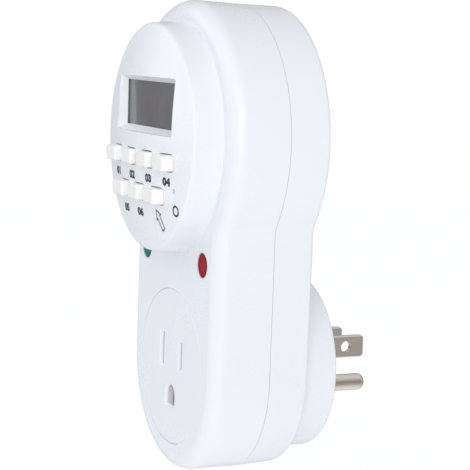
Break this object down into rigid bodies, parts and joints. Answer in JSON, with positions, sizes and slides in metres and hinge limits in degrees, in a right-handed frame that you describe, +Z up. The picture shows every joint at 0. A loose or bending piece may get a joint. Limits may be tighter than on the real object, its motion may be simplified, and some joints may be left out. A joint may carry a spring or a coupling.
{
  "type": "plug in timer switch",
  "caption": "Plug-in digital timer switch: a two-shell white case with a wall plug behind, a grounded outlet in front and a round timer head with display and sprung keys.",
  "frame": {"origin": "on the flat face that meets the wall, midway between the two flat blades", "axes": "+X to the right as seen from the front, +Y towards the wall (the prongs point along +Y), +Z up along the case"},
  "size_m": [0.0732, 0.073, 0.1277],
  "materials": {
    "white_plastic": "smooth satin white moulded plastic",
    "key_plastic": "satin white moulded plastic, slightly warmer than the case",
    "plated_steel": "zinc plated steel",
    "window_plastic": "clear moulded window",
    "lcd_glass": "grey liquid crystal glass, display off",
    "frame_plastic": "matte white plastic",
    "connector_rubber": "conductive rubber strip",
    "board_green": "green solder mask on glass fibre board",
    "keypad_rubber": "grey silicone rubber",
    "black_plastic": "black moulded resin",
    "battery_sleeve": "green shrink sleeve",
    "green_lens": "translucent green lens",
    "red_lens": "translucent red lens",
    "lamp_resin": "diffused lamp resin with tinned leads",
    "inner_plastic": "unpainted heat resistant plastic",
    "contact_brass": "bare copper alloy strip",
    "nickel_plate": "nickel plated brass with fine drawn lines",
    "relay_plastic": "blue moulded plastic",
    "copper_wire": "enamelled copper winding",
    "capacitor_yellow": "yellow plastic box",
    "varistor_blue": "blue dipped coating",
    "fuse_glass": "ceramic fuse with plated caps",
    "resistor_body": "tan resistor coating",
    "wire_black": "black insulated wire",
    "wire_red": "red insulated wire",
    "wire_white": "white insulated wire",
    "ribbon_grey": "grey flat ribbon cable"
  },
  "bodies": {
    "case": {"front_housing": "white_plastic", "rear_housing": "white_plastic", "case_screws": "plated_steel", "cover_screws": "plated_steel", "board_screws": "plated_steel", "head_cover": "white_plastic", "lcd_window": "window_plastic", "lcd_panel": "lcd_glass", "lcd_frame": "frame_plastic", "zebra_strips": "connector_rubber", "logic_board": "board_green", "keypad": "keypad_rubber", "reset_switch": "black_plastic", "controller_chip": "black_plastic", "crystal": "plated_steel", "backup_battery": "battery_sleeve", "green_lens": "green_lens", "green_lamp": "lamp_resin", "red_lens": "red_lens", "red_lamp": "lamp_resin", "socket_insert": "white_plastic", "contact_retainer": "inner_plastic", "contact_screws": "plated_steel", "neutral_contact": "contact_brass", "line_contact": "contact_brass", "ground_contact": "contact_brass", "ground_strap": "contact_brass", "neutral_blade": "nickel_plate", "line_blade": "nickel_plate", "ground_pin": "nickel_plate", "blade_retainer": "inner_plastic", "retainer_screws": "plated_steel", "power_board": "board_green", "relay_base": "relay_plastic", "relay_cover": "relay_plastic", "relay_coil": "copper_wire", "relay_yoke": "plated_steel", "relay_contact": "contact_brass", "film_capacitor": "capacitor_yellow", "filter_capacitor": "black_plastic", "varistor": "varistor_blue", "fuse": "fuse_glass", "diodes": "black_plastic", "driver_transistor": "black_plastic", "dropper_resistor": "resistor_body", "line_wire": "wire_black", "neutral_wire": "wire_white", "load_wire": "wire_red", "ribbon_cable": "ribbon_grey"},
    "week_key": {"week_key": "key_plastic"},
    "hour_key": {"hour_key": "key_plastic"},
    "minute_key": {"minute_key": "key_plastic"},
    "second_key": {"second_key": "key_plastic"},
    "clock_key": {"clock_key": "key_plastic"},
    "program_key": {"program_key": "key_plastic"},
    "manual_key": {"manual_key": "key_plastic"},
    "reset_button": {"reset_button": "key_plastic"},
    "relay_armature": {"relay_armature": "plated_steel"}
  },
  "joints": [
    {"name": "week_press", "type": "slide", "parent": "case", "child": "week_key", "axis": [0, 1, 0], "range_m": [0, 0.001], "stiffness_N_per_m": 900, "springref_m": -0.0004},
    {"name": "hour_press", "type": "slide", "parent": "case", "child": "hour_key", "axis": [0, 1, 0], "range_m": [0, 0.001], "stiffness_N_per_m": 900, "springref_m": -0.0004},
    {"name": "minute_press", "type": "slide", "parent": "case", "child": "minute_key", "axis": [0, 1, 0], "range_m": [0, 0.001], "stiffness_N_per_m": 900, "springref_m": -0.0004},
    {"name": "second_press", "type": "slide", "parent": "case", "child": "second_key", "axis": [0, 1, 0], "range_m": [0, 0.001], "stiffness_N_per_m": 900, "springref_m": -0.0004},
    {"name": "clock_press", "type": "slide", "parent": "case", "child": "clock_key", "axis": [0, 1, 0], "range_m": [0, 0.001], "stiffness_N_per_m": 900, "springref_m": -0.0004},
    {"name": "program_press", "type": "slide", "parent": "case", "child": "program_key", "axis": [0, 1, 0], "range_m": [0, 0.001], "stiffness_N_per_m": 900, "springref_m": -0.0004},
    {"name": "manual_press", "type": "slide", "parent": "case", "child": "manual_key", "axis": [0, 1, 0], "range_m": [0, 0.001], "stiffness_N_per_m": 900, "springref_m": -0.0004},
    {"name": "reset_press", "type": "slide", "parent": "case", "child": "reset_button", "axis": [0, 1, 0], "range_m": [0, 0.0006], "stiffness_N_per_m": 900, "springref_m": -0.0004},
    {"name": "relay_pull", "type": "hinge", "parent": "case", "child": "relay_armature", "pos_m": [-0.012, -0.02945, 0.0386], "axis": [-1, 0, 0], "range_deg": [0, 4.5], "stiffness_Nm_per_rad": 0.02, "springref_deg": -5.73}
  ]
}
